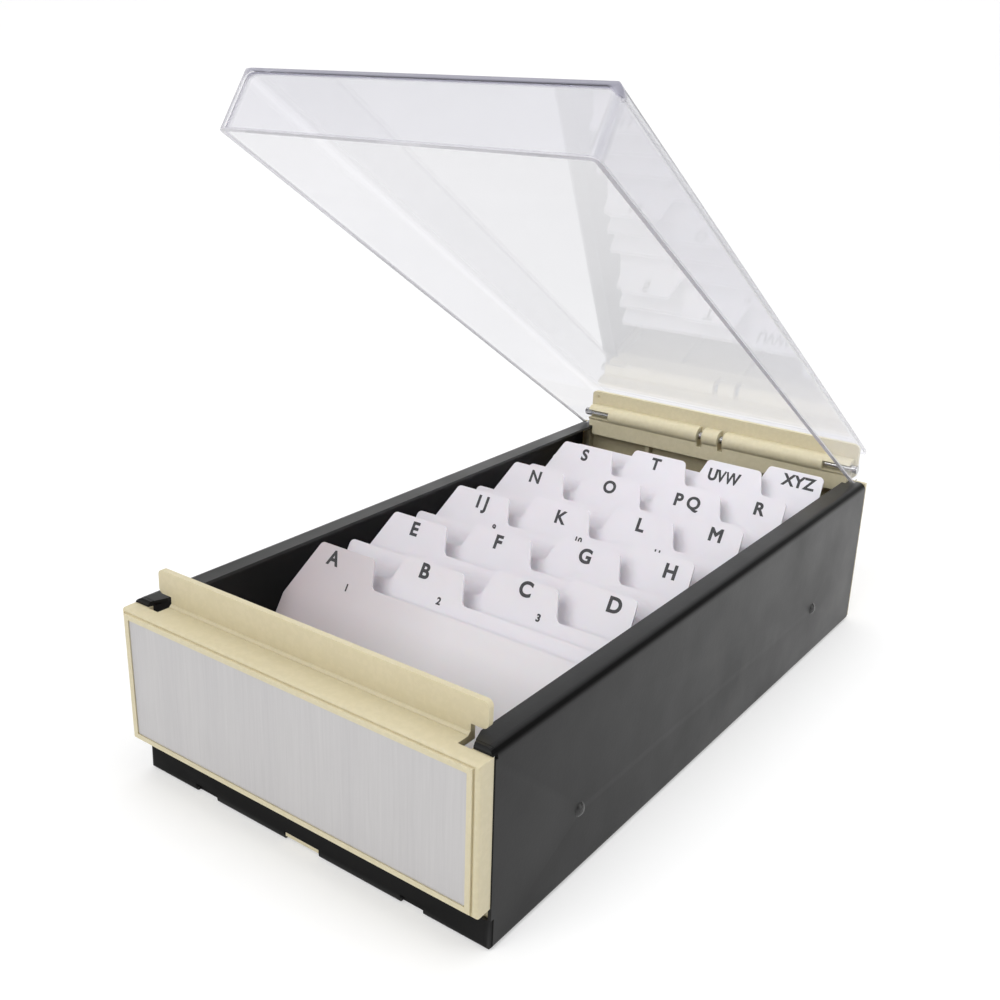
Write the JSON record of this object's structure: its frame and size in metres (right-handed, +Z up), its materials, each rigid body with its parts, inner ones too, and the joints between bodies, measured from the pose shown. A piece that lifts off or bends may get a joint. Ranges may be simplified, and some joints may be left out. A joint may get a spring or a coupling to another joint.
{
  "type": "card index box",
  "caption": "Low desk box for name cards: folded steel tray, moulded end panels, hinged clear lid and tabbed index dividers that flip on side pins.",
  "frame": {"origin": "centre of the tray's underside, on the desk", "axes": "+Z up, -Y towards the front panel and the user, +Y towards the hinge, +X to the right seen from the front"},
  "size_m": [0.127, 0.2531, 0.1983],
  "materials": {
    "black_steel": "semi-gloss black paint",
    "cream_plastic": "fine matt",
    "brushed_plate": "brushed, vertical grain",
    "steel_rod": "bright",
    "rivet_steel": "gloss",
    "clear_plastic": "clear, polished",
    "divider_plastic": "smooth white with dark printed index letters"
  },
  "bodies": {
    "tray": {"tray": "black_steel", "front_panel": "cream_plastic", "face_plate": "brushed_plate", "rear_panel": "cream_plastic", "hinge_rod": "steel_rod", "guide_left": "black_steel", "guide_right": "black_steel", "rivet_left_front": "rivet_steel", "rivet_left_rear": "rivet_steel", "rivet_right_front": "rivet_steel", "rivet_right_rear": "rivet_steel"},
    "lid": {"lid": "clear_plastic"},
    "divider_a": {"divider_a": "divider_plastic"},
    "divider_b": {"divider_b": "divider_plastic"},
    "divider_c": {"divider_c": "divider_plastic"},
    "divider_d": {"divider_d": "divider_plastic"},
    "divider_e": {"divider_e": "divider_plastic"},
    "divider_f": {"divider_f": "divider_plastic"},
    "divider_g": {"divider_g": "divider_plastic"},
    "divider_h": {"divider_h": "divider_plastic"},
    "divider_ij": {"divider_ij": "divider_plastic"},
    "divider_k": {"divider_k": "divider_plastic"},
    "divider_l": {"divider_l": "divider_plastic"},
    "divider_m": {"divider_m": "divider_plastic"},
    "divider_n": {"divider_n": "divider_plastic"},
    "divider_o": {"divider_o": "divider_plastic"},
    "divider_pq": {"divider_pq": "divider_plastic"},
    "divider_r": {"divider_r": "divider_plastic"},
    "divider_s": {"divider_s": "divider_plastic"},
    "divider_t": {"divider_t": "divider_plastic"},
    "divider_uvw": {"divider_uvw": "divider_plastic"},
    "divider_xyz": {"divider_xyz": "divider_plastic"}
  },
  "joints": [
    {"name": "lid_hinge", "type": "hinge", "parent": "tray", "child": "lid", "pos_m": [0, 0.1164, 0.0614], "axis": [-1, 0, 0], "range_deg": [-32, 62]},
    {"name": "divider_a_pivot", "type": "hinge", "parent": "tray", "child": "divider_a", "pos_m": [0, -0.0877, 0.019], "axis": [1, 0, 0], "range_deg": [0, 64]},
    {"name": "divider_b_pivot", "type": "hinge", "parent": "tray", "child": "divider_b", "pos_m": [0, -0.07894, 0.019], "axis": [1, 0, 0], "range_deg": [0, 64]},
    {"name": "divider_c_pivot", "type": "hinge", "parent": "tray", "child": "divider_c", "pos_m": [0, -0.07018, 0.019], "axis": [1, 0, 0], "range_deg": [0, 64]},
    {"name": "divider_d_pivot", "type": "hinge", "parent": "tray", "child": "divider_d", "pos_m": [0, -0.06142, 0.019], "axis": [1, 0, 0], "range_deg": [0, 64]},
    {"name": "divider_e_pivot", "type": "hinge", "parent": "tray", "child": "divider_e", "pos_m": [0, -0.05266, 0.019], "axis": [1, 0, 0], "range_deg": [0, 64]},
    {"name": "divider_f_pivot", "type": "hinge", "parent": "tray", "child": "divider_f", "pos_m": [0, -0.0439, 0.019], "axis": [1, 0, 0], "range_deg": [0, 64]},
    {"name": "divider_g_pivot", "type": "hinge", "parent": "tray", "child": "divider_g", "pos_m": [0, -0.03514, 0.019], "axis": [1, 0, 0], "range_deg": [0, 64]},
    {"name": "divider_h_pivot", "type": "hinge", "parent": "tray", "child": "divider_h", "pos_m": [0, -0.02638, 0.019], "axis": [1, 0, 0], "range_deg": [0, 64]},
    {"name": "divider_ij_pivot", "type": "hinge", "parent": "tray", "child": "divider_ij", "pos_m": [0, -0.01762, 0.019], "axis": [1, 0, 0], "range_deg": [0, 64]},
    {"name": "divider_k_pivot", "type": "hinge", "parent": "tray", "child": "divider_k", "pos_m": [0, -0.00886, 0.019], "axis": [1, 0, 0], "range_deg": [0, 64]},
    {"name": "divider_l_pivot", "type": "hinge", "parent": "tray", "child": "divider_l", "pos_m": [0, -0.0001, 0.019], "axis": [1, 0, 0], "range_deg": [0, 64]},
    {"name": "divider_m_pivot", "type": "hinge", "parent": "tray", "child": "divider_m", "pos_m": [0, 0.00866, 0.019], "axis": [1, 0, 0], "range_deg": [0, 64]},
    {"name": "divider_n_pivot", "type": "hinge", "parent": "tray", "child": "divider_n", "pos_m": [0, 0.01742, 0.019], "axis": [1, 0, 0], "range_deg": [0, 64]},
    {"name": "divider_o_pivot", "type": "hinge", "parent": "tray", "child": "divider_o", "pos_m": [0, 0.02618, 0.019], "axis": [1, 0, 0], "range_deg": [0, 64]},
    {"name": "divider_pq_pivot", "type": "hinge", "parent": "tray", "child": "divider_pq", "pos_m": [0, 0.03494, 0.019], "axis": [1, 0, 0], "range_deg": [0, 64]},
    {"name": "divider_r_pivot", "type": "hinge", "parent": "tray", "child": "divider_r", "pos_m": [0, 0.0437, 0.019], "axis": [1, 0, 0], "range_deg": [0, 64]},
    {"name": "divider_s_pivot", "type": "hinge", "parent": "tray", "child": "divider_s", "pos_m": [0, 0.05246, 0.019], "axis": [1, 0, 0], "range_deg": [0, 64]},
    {"name": "divider_t_pivot", "type": "hinge", "parent": "tray", "child": "divider_t", "pos_m": [0, 0.06122, 0.019], "axis": [1, 0, 0], "range_deg": [0, 64]},
    {"name": "divider_uvw_pivot", "type": "hinge", "parent": "tray", "child": "divider_uvw", "pos_m": [0, 0.06998, 0.019], "axis": [1, 0, 0], "range_deg": [0, 64]},
    {"name": "divider_xyz_pivot", "type": "hinge", "parent": "tray", "child": "divider_xyz", "pos_m": [0, 0.07874, 0.019], "axis": [1, 0, 0], "range_deg": [0, 64]}
  ],
  "couplings": [
    {"joint": "divider_b_pivot", "follows": "divider_a_pivot", "ratio": 1},
    {"joint": "divider_c_pivot", "follows": "divider_a_pivot", "ratio": 1},
    {"joint": "divider_d_pivot", "follows": "divider_a_pivot", "ratio": 1},
    {"joint": "divider_e_pivot", "follows": "divider_a_pivot", "ratio": 1},
    {"joint": "divider_f_pivot", "follows": "divider_a_pivot", "ratio": 1},
    {"joint": "divider_g_pivot", "follows": "divider_a_pivot", "ratio": 1},
    {"joint": "divider_h_pivot", "follows": "divider_a_pivot", "ratio": 1},
    {"joint": "divider_ij_pivot", "follows": "divider_a_pivot", "ratio": 1},
    {"joint": "divider_k_pivot", "follows": "divider_a_pivot", "ratio": 1},
    {"joint": "divider_l_pivot", "follows": "divider_a_pivot", "ratio": 1},
    {"joint": "divider_m_pivot", "follows": "divider_a_pivot", "ratio": 1},
    {"joint": "divider_n_pivot", "follows": "divider_a_pivot", "ratio": 1},
    {"joint": "divider_o_pivot", "follows": "divider_a_pivot", "ratio": 1},
    {"joint": "divider_pq_pivot", "follows": "divider_a_pivot", "ratio": 1},
    {"joint": "divider_r_pivot", "follows": "divider_a_pivot", "ratio": 1},
    {"joint": "divider_s_pivot", "follows": "divider_a_pivot", "ratio": 1},
    {"joint": "divider_t_pivot", "follows": "divider_a_pivot", "ratio": 1},
    {"joint": "divider_uvw_pivot", "follows": "divider_a_pivot", "ratio": 1},
    {"joint": "divider_xyz_pivot", "follows": "divider_a_pivot", "ratio": 1}
  ]
}
